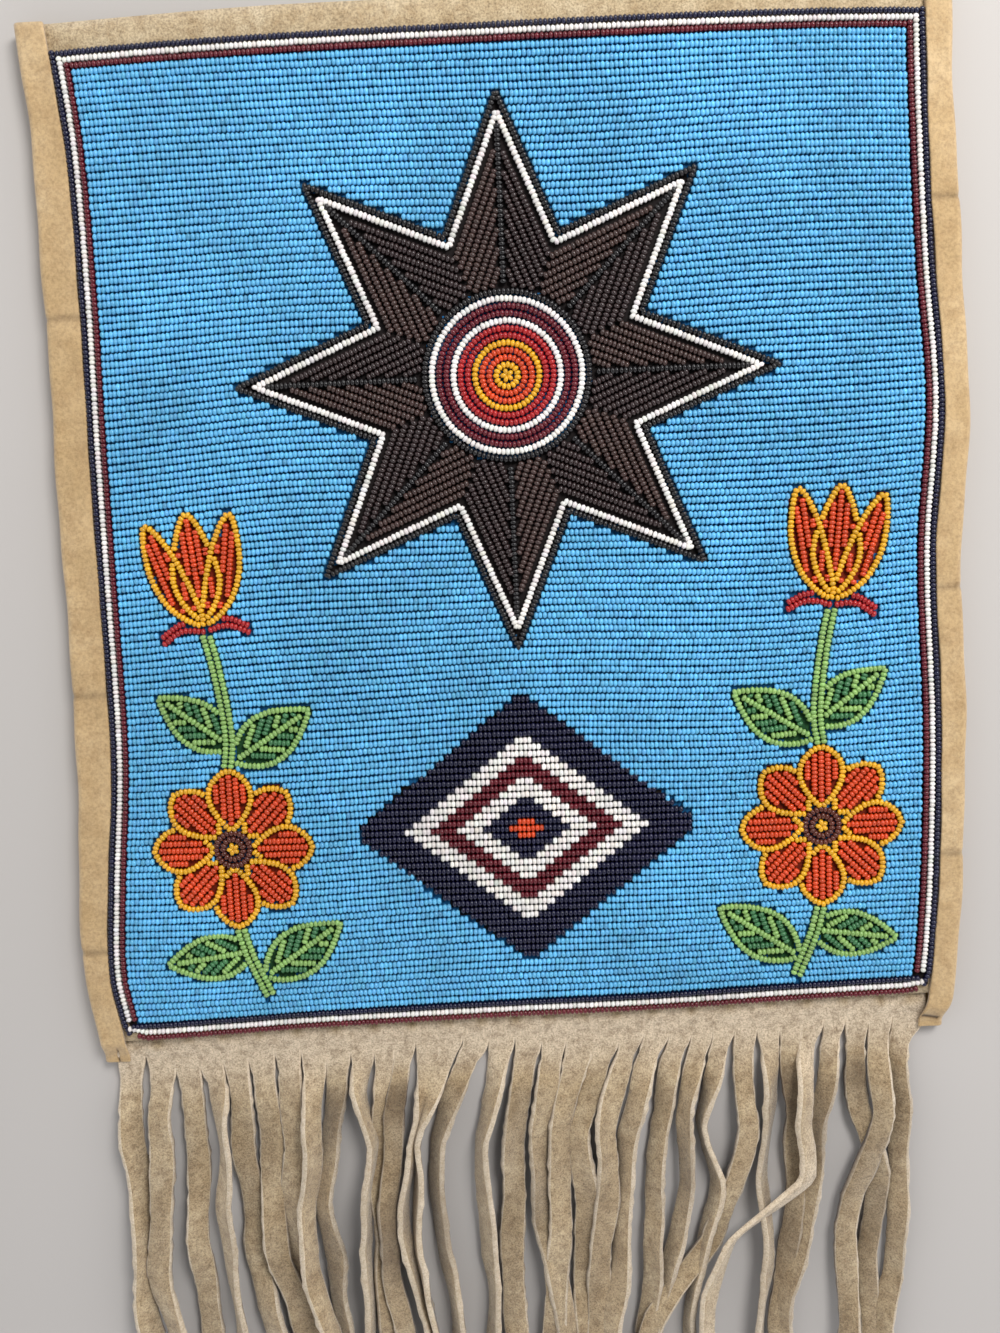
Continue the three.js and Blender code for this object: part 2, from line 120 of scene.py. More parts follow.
STRIP_KINK = 0.75  # how far a strip wanders in kinks
STRIP_LOFT = 0.8  # how far it rises off the surface between the places where it touches
STRIP_CURL = 0.45  # how far its edges curl
STRIP_RAGGED = 0.17  # unevenness of its cut edges

# Strips from left to right: x at the marks, turn about the length in degrees, strips it lies over,
# soil (bleached below nought), and the row of points at which the cut on its right ends
STRIP_MARKS = (0, 14, 30, 48, 66, 90)  # distances below the cut
Strip = namedtuple("Strip", "cut top high middle low foot turn over soil slit")
STRIPS = [Strip(*row) for row in (
    (-122.5, -123.4, -122.4, -122.2, -122.5, -121.3, -34, 0, 0.12, 7),
    (-113, -114, -114.4, -116, -117, -113, 12, 1, 0.12, 10),
    (-104.8, -104.6, -104.6, -104.6, -104.4, -103.8, -8, 0, 0.12, 10),
    (-98, -95.8, -95.2, -96.6, -94.6, -94.2, 42, 0, 0.12, 9),
    (-90.7, -89.6, -89, -88.5, -88, -82.2, 6, 0, 0.12, 9),
    (-82.5, -82, -81.5, -81.2, -80.5, -74.2, -8, 0, 0.12, 8),
    (-74.5, -74.3, -74.5, -75.5, -75.3, -70, 14, 0, 0.12, 8),
    (-66.6, -67, -68, -71, -70.3, -65.8, -46, 1, 0.12, 10),
    (-59.5, -60.5, -63, -65.6, -64, -62, 22, 0, 0.5, 9),
    (-51.5, -53.3, -50.4, -53, -52.8, -54.4, -70, 0, 0.12, 9),
    (-45.2, -46.4, -47.6, -49.3, -49, -48.2, -20, 0, 0.12, 9),
    (-39.2, -41.5, -43.5, -46.6, -46, -43.6, -8, 1, 0.75, 8),
    (-32, -33, -37.8, -41.2, -40.4, -36, -64, 0, 0.12, 9),
    (-25, -31, -36.6, -37.2, -37, -34.2, 66, 0, 0.12, 7),
    (-17.4, -23.5, -30.5, -31.6, -28.6, -27, 46, 0, 0.5, 8),
    (-9.6, -12, -17.4, -16, -16, -15.6, 50, 0, 0.12, 8),
    (-1.4, -4, -6.8, -8.6, -8.7, -8.8, -12, 1, 0.35, 9),
    (6.2, 4, 0, 0.6, 2.5, 6, -22, 0, 0.4, 9),
    (13.5, 11.5, 6.4, 6, 6, 2.3, -6, 1, 0.12, 11),
    (21.8, 18, 13.3, 13.4, 13.8, 13.2, 8, 0, 0.12, 10),
    (29.6, 25.5, 20, 20.8, 18.7, 16, -16, 1, 0.12, 8),
    (37.2, 32.5, 27.5, 26.2, 24.5, 20.8, 32, 0, 0.12, 9),
    (44.5, 40.5, 37, 35.9, 34, 31.8, 26, 0, 0.12, 9),
    (51, 48, 43.6, 45.2, 41.5, 34, 42, 0, 0.4, 9),
    (57.3, 54.5, 50.4, 53.6, 50, 45, 62, 0, 0.12, 9),
    (64, 63, 63.2, 59.3, 52, 33, 8, 1, 0.12, 9),
    (71, 71.4, 69.8, 67, 70, 66, -50, 0, 0.3, 9),
    (77.7, 77, 78.3, 78.5, 75.8, 72.5, 10, 0, 0.6, 9),
    (84.2, 81, 80.5, 79.8, 56.8, 49.5, -34, 2, -0.7, 8),
    (90.8, 88.6, 85.8, 82.8, 79.5, 73.5, 34, 0, 0.4, 8),
    (97.2, 97, 98.2, 102.6, 101, 99.5, 12, 0, 0.5, 9),
    (104.6, 103.3, 103.4, 98, 92.3, 92.5, 14, 1, 0.35, 8),
    (111.5, 109.6, 109, 109.3, 108.7, 105, 24, 0, 0.3, HEADER_ROWS),
)]

# Beading
ROW_PITCH = 2.0  # spacing of the lanes of beads
BEAD_PITCH = 1.27  # spacing of the beads along a lane
CHART_STEP = 0.25  # grid on which the figures are planned
CHART_LOW = (-132.0, -150.0)
CHART_SIZE = (264.0, 296.0)
GROUND_SPAN = (-126, 128)  # the ground's rows are planned between these
STRING_HALF = 0.95  # a string of beads keeps other beads this far from its line
STRING_LIFT = 0.12  # strings stand this much prouder than the lanes they edge
STRING_STEP = 0.2  # spacing of the points along a string
LANE_ROOM = 0.15  # a lane needs this much of its own colour on both sides of its line
BEAD_REACH = 0.3  # a bead lies along its line between points this far before and behind it
BEADS_A_PIECE = 6100
SPRAYS = "beads_sprays"
SEED = 11

# Section of a bead across its lane, from its foot round by the right, as shares of its half width and height
BEAD_FOOT = -0.84
BEAD_SECTION = ((0, BEAD_FOOT), (0.97, -0.25), (0.8, 0.5), (0, 0.92), (-0.8, 0.5), (-0.97, -0.25))
BEAD_RINGS = ((-0.5, 0.62), (0.0, 1.0), (0.5, 0.62))  # place along the bead, share of its section

# Colours, as sRGB numbers: hide where it is soiled or has painted shade, where it is bleached, the painted
# shade in the gaps under beads of some colour, and the beads
SOIL_AND_SHADE = (72, 52, 31)
BLEACHED = (222, 204, 178)
# Painted shade in the gaps between beads, tinted with the light that beads of each colour throw into them
PAINTED_GAP_SHADES = {"ground": (30, 106, 162), "dark": (30, 24, 24), "orange": (132, 40, 16), "leaf": (36, 78, 44)}
PALETTE = {
    "ground": (93, 175, 221),
    "navy": (13, 14, 47),
    "white": (230, 226, 222),
    "maroon": (92, 14, 28),
    "red": (158, 24, 26),
    "orange": (200, 64, 20),
    "yellow": (216, 160, 22),
    "leaf": (58, 112, 70),
    "light_green": (134, 172, 96),
    "umber": (46, 33, 33),
    "dark_brown": (62, 44, 40),
    "black": (17, 14, 16),
    "chestnut": (86, 37, 22),
}

# Camera at the photo's place, floor and light
CAMERA_PLACE = (-0.33, -8.83, 323.2)
CAMERA_TURN = (-5.233, 0.629, -2.486)  # degrees
FOCAL_PIXELS = 1100
FRAME_HIGH = 1333  # pixels
SENSOR = 36
FLOOR_HALF = 1500
HORIZON_LIGHT, ZENITH_LIGHT = 2.1, 0.1  # strength of the room's light
WINDOW_PLACE = (0.28, 0.36, 0.56)  # metres


def look_up(places, values, at):
    """Smooth curve through the values, read at the places asked for."""
    places = np.asarray(places, float)
    values = np.asarray(values, float)
    at = np.clip(np.asarray(at, float), places[0], places[-1])
    steps = np.diff(values) / np.diff(places)
    middle = (values[2:] - values[:-2]) / (places[2:] - places[:-2])
    slopes = np.concatenate([steps[:1], middle, steps[-1:]])
    i = np.clip(np.searchsorted(places, at) - 1, 0, len(places) - 2)
    span = places[i + 1] - places[i]
    t = (at - places[i]) / span
    bend = (values[i + 1] - values[i]) * t * t * (3 - 2 * t)
    lead = slopes[i] * span * t * (1 - t) ** 2
    trail = slopes[i + 1] * span * t * t * (1 - t)
    return values[i] + bend + lead - trail


def ease(low, high, at):
    """Smooth step from 0 at low to 1 at high."""
    t = np.clip((np.asarray(at, float) - low) / (high - low), 0, 1)
    return t * t * (3 - 2 * t)


def bell(away, wide):
    """1 at nought, falling off to both sides."""
    return np.exp(-((away / wide) ** 2))


def wave(at, size, length, phase=0):
    """Sine wave whose length is given for one radian."""
    return size * np.sin(at / length + phase)


def edge_column(column):
    """Function of the height that reads a column of the outline."""
    def at(y):
        return look_up(EDGES[:, 0], EDGES[:, column], y)

    return at


left_edge, right_edge = edge_column(1), edge_column(2)
BINDING_WIDTH = {"left": edge_column(3), "right": edge_column(4)}
LOW_LEFT, LOW_RIGHT = float(left_edge(SEAM_MIDDLE)), float(right_edge(SEAM_MIDDLE))  # ends of the seam


def seam(x):
    return SEAM_MIDDLE + SEAM_SLOPE * x


def beading_foot(x):
    """Lower edge of the beading, which sags a little below the straight seam."""
    return seam(x) - CORNER_SAG * ease(-60, -115, x) - MIDDLE_SAG * bell(x - 35, 32)


def front_under(x, y):
    """Underside of the front panel: lowest along its seams, crowned between them, open at the mouth."""
    left = left_edge(y)
    across = np.clip(2 * (x - left) / (right_edge(y) - left) - 1, -1, 1)
    foot = beading_foot(x)
    up = np.clip((y - foot) / (BEAD_TOP - foot), 0, 1)
    return SEAM_Z + POCKET_RISE * (1 - np.abs(across) ** 3) * (1 - (1 - up) ** 4)


def back_under(x, y):
    """Underside of the back panel: flat, with its sides climbing into the bindings."""
    inset = np.minimum(x - left_edge(y), right_edge(y) - x)
    return SIDE_LIFT * np.clip((RAMP_FOOT - inset) / (RAMP_FOOT - RAMP_TOP), 0, 1)


def linear(rgb):
    """Linear colour from sRGB numbers up to 255."""
    c = np.asarray(rgb, float) / 255
    return np.where(c <= 0.04045, c / 12.92, ((c + 0.055) / 1.055) ** 2.4)


# Materials


def add_node(tree, kind, inputs=None, **settings):
    node = tree.nodes.new(kind)
    for key, value in settings.items():
        setattr(node, key, value)
    for key, value in (inputs or {}).items():
        node.inputs[key].default_value = value
    return node


def new_material(name):
    """Material with nodes: itself, its node tree, its shader's inputs and the object's own coordinates."""
    material = bpy.data.materials.new(name)
    material.use_nodes = True
    tree = material.node_tree
    place = add_node(tree, "ShaderNodeTexCoord").outputs["Object"]
    return material, tree, tree.nodes["Principled BSDF"].inputs, place


def add_noise(tree, place, scale, detail, roughness=0.6):
    """Noise with a number of waves for each metre."""
    noise = add_node(tree, "ShaderNodeTexNoise", {"Scale": scale, "Detail": detail, "Roughness": roughness})
    tree.links.new(place, noise.inputs["Vector"])
    return noise.outputs["Fac"]


def add_ramp(tree, factor, stops):
    ramp = add_node(tree, "ShaderNodeValToRGB")
    elements = ramp.color_ramp.elements
    while len(elements) < len(stops):
        elements.new(0.5)
    for element, (place, rgb) in zip(elements, stops):
        element.position = place
        element.color = (*linear(rgb), 1)
    tree.links.new(factor, ramp.inputs["Fac"])
    return ramp.outputs["Color"]


def add_range(tree, factor, low, high, full=1.0):
    """Number from low, where the factor is nought, to high, where it is full."""
    spread = add_node(tree, "ShaderNodeMapRange", {"From Max": full, "To Min": low, "To Max": high})
    tree.links.new(factor, spread.inputs["Value"])
    return spread.outputs["Result"]


def add_mix(tree, factor, a, b, blend="MIX"):
    mix = add_node(tree, "ShaderNodeMix", data_type="RGBA", blend_type=blend)
    for value, socket in ((factor, mix.inputs["Factor"]), (a, mix.inputs["A"]), (b, mix.inputs["B"])):
        if isinstance(value, bpy.types.NodeSocket):
            tree.links.new(value, socket)
        else:
            socket.default_value = value
    return mix.outputs["Result"]


def bead_material():
    """Opaque glossy glass, each bead with its own tint, a little dulled by handling in places."""
    material, tree, shader, place = new_material("seed_beads")
    tint = add_node(tree, "ShaderNodeAttribute", attribute_name="tint").outputs["Color"]
    fade = add_noise(tree, place, scale=26.0, detail=3.0)
    worn = add_ramp(tree, fade, [(0.3, (226, 226, 226)), (0.7, (255, 255, 255))])
    tree.links.new(add_mix(tree, 1.0, tint, worn, "MULTIPLY"), shader["Base Color"])
    tree.links.new(add_range(tree, fade, 0.16, 0.36), shader["Roughness"])
    return material


def suede_material(name, tones, stain, grain, patch, bump, sheen=0.2, nap_depth=0.8):
    """Tanned hide: mottled tone, stains, fine nap and a soft sheen. grain and patch are scales of noise.

    The shade attribute darkens it where it is above nought, both for soil and for painted shade, and bleaches
    it where it is below.
    """
    material, tree, shader, place = new_material(name)
    broad = add_noise(tree, place, patch, detail=5.0, roughness=0.62)
    blots = add_noise(tree, place, 3.6 * patch, detail=8.0, roughness=0.78)
    fine = add_noise(tree, place, grain, detail=4.0, roughness=0.75)
    shade = add_node(tree, "ShaderNodeAttribute", attribute_name="shade").outputs["Fac"]
    base = add_ramp(tree, broad, list(zip((0.25, 0.5, 0.75), tones)))
    base = add_mix(tree, add_range(tree, shade, 0.0, 1.0, -1.0), base, (*linear(BLEACHED), 1))
    spread = add_ramp(tree, blots, [(0.46, (0, 0, 0)), (0.66, (215, 215, 215))])
    base = add_mix(tree, spread, base, (*linear(stain), 1))
    # Soil, and painted shade in creases, dimples, under edges and undersides, darken towards one tone
    base = add_mix(tree, add_range(tree, shade, 0.0, 1.0), base, (*linear(SOIL_AND_SHADE), 1))
    nap = add_ramp(tree, fine, [(0.32, (132, 122, 108)), (0.58, (255, 255, 255))])
    tree.links.new(add_mix(tree, nap_depth, base, nap, "MULTIPLY"), shader["Base Color"])
    tree.links.new(add_range(tree, fine, 0.8, 1.0), shader["Roughness"])
    pile = add_node(tree, "ShaderNodeBump", {"Strength": bump, "Distance": 0.6 * MM})
    tree.links.new(fine, pile.inputs["Height"])
    tree.links.new(pile.outputs["Normal"], shader["Normal"])
    shader["Specular IOR Level"].default_value = 0.25
    shader["Sheen Weight"].default_value = sheen
    shader["Sheen Roughness"].default_value = 0.6
    return material


def floor_material():
    material, tree, shader, place = new_material("pale_floor")
    tone = add_noise(tree, place, scale=2.2, detail=2.0)
    colour = add_ramp(tree, tone, [(0.3, (177, 173, 169)), (0.7, (183, 179, 176))])
    tree.links.new(colour, shader["Base Color"])
    tree.links.new(add_range(tree, tone, 0.75, 0.9), shader["Roughness"])
    return material


# Meshes


def add_object(name, points, faces, materials):
    """Smooth mesh object from points in millimetres."""
    mesh = bpy.data.meshes.new(name)
    mesh.from_pydata((np.asarray(points, float) * MM).tolist(), [], faces)
    mesh.polygons.foreach_set("use_smooth", np.ones(len(mesh.polygons), bool))
    for material in materials:
        mesh.materials.append(material)
    placed = bpy.data.objects.new(name, mesh)
    bpy.context.scene.collection.objects.link(placed)
    return placed


def add_piece(name, points, faces, materials, slot, nodes):
    """Piece that rides on the bag's one body and stands for some of its nodes."""
    piece = add_object(name, points, faces, materials)
    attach(piece, "root")
    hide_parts(*nodes)
    return piece


def add_shade(piece, shade):
    """Soil and painted shade at each point, which the hide's material reads."""
    attribute = piece.data.attributes.new("shade", "FLOAT", "POINT")
    attribute.data.foreach_set("value", np.asarray(shade, np.float32))


def grid_quads(index, flip=False):
    """Quads over a grid of numbered points."""
    quads = np.stack([index[:-1, :-1], index[:-1, 1:], index[1:, 1:], index[1:, :-1]], -1).reshape(-1, 4)
    return quads[:, ::-1] if flip else quads


def closed_sheet(lower, upper):
    """Points and faces of a closed sheet between two grids of points."""
    index = np.arange(lower[..., 0].size).reshape(lower.shape[:2])
    ring = np.concatenate([index[0, :-1], index[:-1, -1], index[-1, :0:-1], index[:0:-1, 0]])
    after = np.roll(ring, -1)
    sides = np.stack([ring, after, after + index.size, ring + index.size], 1)
    faces = np.concatenate([grid_quads(index, True), grid_quads(index + index.size), sides])
    return np.concatenate([lower.reshape(-1, 3), upper.reshape(-1, 3)]), faces


def swept(sections):
    """Points and faces of a closed solid swept through sections of equal size, with flat ends."""
    stations, count = sections.shape[:2]
    index = np.arange(stations * count).reshape(stations, count)
    here = index[:-1]
    ahead = index[1:]
    sides = np.stack([here, np.roll(here, -1, 1), np.roll(ahead, -1, 1), ahead], -1).reshape(-1, 4)
    return sections.reshape(-1, 3), [*sides.tolist(), index[0, ::-1].tolist(), index[-1].tolist()]


# Curves for the figures


def curve(points, closed=False):
    """Smooth curve through the points, in ten steps from each to the next."""
    p = np.asarray(points, float)
    at = np.arange(10 * len(p) - 9) / 10
    if closed:
        at = 1 + np.arange(10 * len(p)) / 10
        p = np.concatenate([p[-1:], p, p[:2]])
    return np.stack([look_up(np.arange(len(p)), p[:, k], at) for k in (0, 1)], 1)


def run_of(path):
    """Distance along a line at each of its points."""
    return np.concatenate([[0], np.cumsum(np.linalg.norm(np.diff(path, axis=0), axis=1))])


def points_at(path, run, at):
    """Points at some distances along a line."""
    return np.stack([np.interp(at, run, path[:, k]) for k in (0, 1)], 1)


def loop_of(points):
    return np.concatenate([points, points[:1]])


def turned(points, degrees, centre=(0, 0)):
    """Points turned about the origin, then moved to the centre."""
    a = math.radians(degrees)
    turn = np.array([[math.cos(a), math.sin(a)], [-math.sin(a), math.cos(a)]])
    return np.asarray(points, float) @ turn + np.asarray(centre, float)


def aside(points, other, distance):
    """Line at a distance from a line, on the side where the other line is."""
    along = np.gradient(points, axis=0)
    along /= np.linalg.norm(along, axis=1)[:, None]
    normal = np.stack([-along[:, 1], along[:, 0]], 1)
    side = np.sign(((other - points) * normal).sum(1).sum())
    return points + side * distance * normal


class Chart:
    """Plan of the beaded face: which figure owns each spot, and which spots a string of beads covers."""

    def __init__(self):
        self.low = np.array(CHART_LOW)
        columns, rows = (np.array(CHART_SIZE) / CHART_STEP).astype(int)
        self.x = self.low[0] + (np.arange(columns) + 0.5) * CHART_STEP
        self.y = self.low[1] + (np.arange(rows) + 0.5) * CHART_STEP
        self.owner = np.zeros((rows, columns), np.int16)
        x, y = np.meshgrid(self.x, self.y)
        inside = (x > left_edge(y) + BORDER_WIDTH) & (x < right_edge(y) - BORDER_WIDTH)
        inside &= (y > beading_foot(x) + BORDER_WIDTH) & (y < BEAD_TOP - BORDER_WIDTH)
        self.covered = ~inside
        far = math.ceil(STRING_HALF / CHART_STEP)
        steps = np.arange(-far, far + 1) * CHART_STEP
        around = np.stack(np.meshgrid(steps, steps), -1).reshape(-1, 2)
        self.disc = around[np.hypot(*around.T) <= STRING_HALF]

    def cells(self, points):
        at = ((points - self.low) / CHART_STEP).astype(int)
        rows, columns = self.owner.shape
        return np.clip(at[:, 1], 0, rows - 1), np.clip(at[:, 0], 0, columns - 1)

    def paint(self, outline, label):
        """Gives every spot inside the outline to a figure."""
        ends = self.cells(np.stack([outline.min(0), outline.max(0)]))
        rows, columns = (slice(first, last + 1) for first, last in ends)
        x = self.x[None, columns]
        y = self.y[rows, None]
        inside = np.zeros((y.size, x.size), bool)
        for (ax, ay), (bx, by) in zip(outline, np.roll(outline, -1, axis=0)):
            if ay != by:
                crosses = (ay > y) != (by > y)
                inside ^= crosses & (x < (bx - ax) * (y - ay) / (by - ay) + ax)
        self.owner[rows, columns][inside] = label

    def cover(self, points):
        for offset in self.disc:
            self.covered[self.cells(points + offset)] = True

    def open_to_lane(self, points, normal, label):
        free = np.ones(len(points), bool)
        for side in (-LANE_ROOM, 0, LANE_ROOM):
            at = self.cells(points + side * normal)
            free &= (self.owner[at] == label) & ~self.covered[at]
        return free


class Beadwork:
    """Figures to be beaded, and the beads laid for them, by piece."""

    def __init__(self):
        self.chart = Chart()
        self.regions = []
        self.strings = []
        self.beads = {}

    def fill(self, piece, outline, colour, angle=0.0, anchor=None):
        """Area filled with lanes. colour is a name, or a function of a bead's place that gives one."""
        outline = np.asarray(outline, float)
        anchor = outline.mean(0) if anchor is None else np.asarray(anchor, float)
        self.regions.append((piece, outline, colour, math.radians(angle), anchor))
        self.chart.paint(outline, len(self.regions))

    def string(self, piece, points, colour):
        """Single string of beads along a line."""
        self.strings.append((piece, np.asarray(points, float), colour))

    def lay(self, piece, path, free, colour, lift=0.0):
        """Beads along each free stretch of a path."""
        run = run_of(path)
        change = np.flatnonzero(np.diff(np.concatenate([[0], free.astype(np.int8), [0]])))
        for start, stop in zip(change[::2], change[1::2]):
            length = run[stop - 1] - run[start]
            if length < 0.5 * BEAD_PITCH:
                continue
            count = max(1, round(length / BEAD_PITCH))
            at = run[start] + (np.arange(count) + 0.5) * length / count
            ahead = points_at(path, run, at + BEAD_REACH) - points_at(path, run, at - BEAD_REACH)
            for (x, y), (dx, dy) in zip(points_at(path, run, at), ahead):
                name = colour(x, y) if callable(colour) else colour
                bead = (x, y, math.atan2(dy, dx), length / count, lift, name)
                self.beads.setdefault(piece, []).append(bead)

    def lay_strings(self):
        for piece, points, colour in self.strings:
            run = run_of(points)
            count = max(2, int(run[-1] / STRING_STEP))
            path = points_at(points, run, np.linspace(0, run[-1], count))
            self.lay(piece, path, ~self.chart.covered[self.chart.cells(path)], colour, STRING_LIFT)
            self.chart.cover(path)

    def lay_regions(self):
        for label, (piece, outline, colour, angle, anchor) in enumerate(self.regions, 1):
            along = np.array([math.cos(angle), math.sin(angle)])
            normal = np.array([-along[1], along[0]])
            u = (outline - anchor) @ along
            v = (outline - anchor) @ normal
            for lane in range(math.ceil(v.min() / ROW_PITCH), math.floor(v.max() / ROW_PITCH) + 1):
                t = np.arange(u.min() - 1, u.max() + 1, CHART_STEP)[:, None]
                path = anchor + t * along + lane * ROW_PITCH * normal
                self.lay(piece, path, self.chart.open_to_lane(path, normal, label), colour)

    def lay_ground(self, piece, rng):
        """Wavy rows across the whole face, wherever no figure is."""
        up = np.array([0.0, 1.0])
        x = np.arange(*GROUND_SPAN, CHART_STEP)
        low = beading_foot(x) + BORDER_WIDTH
        high = BEAD_TOP - BORDER_WIDTH
        rows = round((high - SEAM_MIDDLE - BORDER_WIDTH) / ROW_PITCH)
        phase = rng.uniform(0, 2 * math.pi, 4)
        for row in range(rows):
            share = (row + 0.5) / rows
            # The rows are straight along the border, and wave most in the middle
            calm = math.sin(math.pi * share) ** 0.5
            waves = wave(x, 1.3, 31, phase[0] + 4 * share) + wave(x, 0.5, 17, phase[1] - 7 * share)
            waves += wave(x, 0.07, 6.5, phase[2] + 2.1 * row)
            path = np.stack([x, low + (high - low) * share + calm * waves], 1)
            self.lay(piece, path, self.chart.open_to_lane(path, up, 0), "ground")


# Figures


def rings(work, piece, centre, colours, step):
    """Strings of beads in rings round a centre, bent every few degrees."""
    for ring, colour in enumerate(colours):
        radius = (ring + 0.5) * ROW_PITCH
        work.string(piece, [turned([(radius, 0)], a, centre)[0] for a in range(0, 361, step)], colour)


def star(work, centre, reach):
    """Eight-pointed star round a rosette of rings, its points in two dark tones edged in white and black."""
    piece = "beads_star"
    points = 8
    half_turn = 180 / points
    tips = [90 + 2 * half_turn * k for k in range(points)]
    notch = reach / (2 * math.cos(math.radians(half_turn)))
    edge_away = notch * math.sin(math.radians(2 * half_turn))

    def at(radius, degrees):
        return turned([(radius, 0)], degrees, centre)[0]

    corners = []
    for tip in tips:
        corners += [at(reach, tip), at(notch, tip + half_turn)]
    outline = loop_of(np.array(corners))
    for lane, colour in enumerate(("black", "white")):
        work.string(piece, centre + (outline - centre) * (1 - lane * ROW_PITCH / edge_away), colour)
    rosette = ("yellow", "yellow", "orange", "orange", "yellow", "red", "red")
    rosette += ("white", "maroon", "maroon", "white", "black")
    rings(work, piece, centre, rosette, 6)
    heart = len(rosette) * ROW_PITCH
    for tip in tips:
        for side, colour in ((-1, "umber"), (1, "dark_brown")):
            beside = tip + side * half_turn
            half = [at(heart - 1, tip), at(heart - 1, beside), at(notch, beside), at(reach, tip)]
            run = half[3] - half[2]
            anchor = half[2] + 3.5 * ROW_PITCH * (centre - half[2]) / notch
            work.fill(piece, half, colour, math.degrees(math.atan2(run[1], run[0])), anchor)
        work.string(piece, [at(heart + 1, tip), at(reach - 7, tip)], "black")


def stepped_diamond(work, centre, steps):
    """Diamond with stepped edges, in bands of one colour inside another."""
    run = 2 * BEAD_PITCH
    rise = ROW_PITCH
    bands = ((5, "navy"), (8, "white"), (11, "maroon"), (14, "white"), (17, "navy"), (99, "orange"))
    corners = [(run * (steps - k // 2), rise * ((k + 1) // 2 + 0.5)) for k in range(2 * steps)]
    quarter = np.array([(corners[0][0], 0.0), *corners], float)
    quarters = (quarter, quarter[::-1] * (-1, 1), quarter * (-1, -1), quarter[::-1] * (1, -1))

    def colour(x, y):
        across, up = abs(x - centre[0]), abs(y - centre[1])
        level = steps - math.floor(across / run) - math.floor(up / rise + 0.5) - 1
        return next(name for limit, name in bands if level < limit)

    work.fill("beads_diamond", np.concatenate(quarters) + centre, colour, 0, centre)


def striped(anchor, slant, colours):
    """Colour by lane, for lanes that run at a slant through the anchor."""
    a = math.radians(slant)

    def colour(x, y):
        lane = round((math.cos(a) * (y - anchor[1]) - math.sin(a) * (x - anchor[0])) / ROW_PITCH)
        return colours[lane % len(colours)]

    return colour


def leaf(work, base, angle, length, wide):
    """Pointed leaf with a light outline and vein, its halves in slanting lanes with light side veins."""
    share = np.linspace(0, 1, 17)
    bulge = wide / 2 * np.sin(math.pi * share**0.85) ** 0.9
    rims = []
    for side in (-1, 1):
        rim = turned(np.stack([length * share, side * bulge], 1), angle, base)
        slant = angle + side * 36
        lanes = striped(base, slant, ("leaf", "leaf", "light_green"))
        work.fill(SPRAYS, rim, lanes, slant, base)
        rims.append(rim)
    work.string(SPRAYS, loop_of(np.concatenate([rims[0], rims[1][-2:0:-1]])), "light_green")
    work.string(SPRAYS, turned([(0.06 * length, 0), (0.9 * length, 0)], angle, base), "light_green")


def petal(work, outline, angle):
    """Orange petal edged in yellow."""
    work.fill(SPRAYS, outline, "orange", angle)
    work.string(SPRAYS, loop_of(outline), "yellow")


def blossom(work, centre, radius, turn):
    """Open flower: eight petals round a brown eye."""
    petals = 8
    share = np.linspace(0, 1, 19)
    half = 0.27 * radius * np.sin(math.pi * share**1.25) ** 0.65
    reach = radius * (0.24 + 0.76 * share)
    outline = np.concatenate([np.stack([reach, half], 1), np.stack([reach, -half], 1)[-2:0:-1]])
    rings(work, SPRAYS, centre, ("yellow", "chestnut", "chestnut"), 15)
    for k in range(petals):
        angle = turn + 360 / petals * k
        petal(work, turned(outline, angle, centre), angle)


def tulip(work, base, angle, high):
    """Tulip on its calyx: one petal between two."""
    half = 0.44 * high

    def put(points, closed=False):
        return turned(curve(np.multiply(points, (half, high)), closed), angle - 90, base)

    for side in (-1, 1):
        outer = [(0, 0), (0.62 * side, 0.14), (0.98 * side, 0.5), (0.92 * side, 0.94), (0.4 * side, 0.62)]
        petal(work, put(outer, True), angle - side * 14)
    petal(work, put([(0, 0.02), (0.5, 0.4), (0, 1), (-0.5, 0.4)], True), angle)
    for side in (-1, 1):
        sepal = put([(0, -0.03), (0.5 * side, 0), (0.95 * side, -0.1)])
        work.string(SPRAYS, sepal, "red")
        work.string(SPRAYS, sepal - turned([(0, ROW_PITCH)], angle - 90), "red")


def sprays(work):
    """A flowering spray up each side."""
    for side in (-1, 1):
        def at(x, y):
            return (side * x + 0.5, y)

        def facing(angle):
            return angle if side > 0 else 180 - angle

        stems = [
            curve([at(78, -133), at(83, -121), at(85.5, -112)]),
            curve([at(86, -64), at(85, -54), at(87, -37), at(90, -23)]),
        ]
        blossom(work, at(86, -88), 23.5, 90)
        tulip(work, at(90, -21), facing(84), 31)
        for stem in stems:
            for lane in (-0.5, 0.5):
                work.string(SPRAYS, aside(stem, stem + (side, 0), lane * ROW_PITCH), "light_green")
        leaf(work, at(82, -119), facing(-8), 26, 13)
        leaf(work, at(79, -127), facing(146), 28, 14)
        leaf(work, at(84, -58), facing(36), 26, 13)
        leaf(work, at(84, -62), facing(148), 27, 14)


# Beads as meshes


def bead_template():
    """Points of a bead of unit size, and its faces as corner numbers."""
    sections = []
    for place, share in BEAD_RINGS:
        foot = (1 + share) / 2
        section = [(place, across * share, up * (share if up > 0 else foot)) for across, up in BEAD_SECTION]
        sections.append(section)
    return swept(np.array(sections))


def bead_colours(names, rng):
    """Each bead's own tint: its colour, a little lighter or darker than its neighbours."""
    base = np.array([linear(PALETTE[n]) for n in names])
    tone = rng.normal(1.0, 0.085, len(names)).clip(0.75, 1.3)
    odd = rng.random(len(names)) < 0.03
    tone = np.where(odd, tone * rng.uniform(0.72, 1.2, len(names)), tone)
    drift = rng.normal(1.0, 0.02, (len(names), 3))
    return (base * tone[:, None] * drift).clip(0, 1)


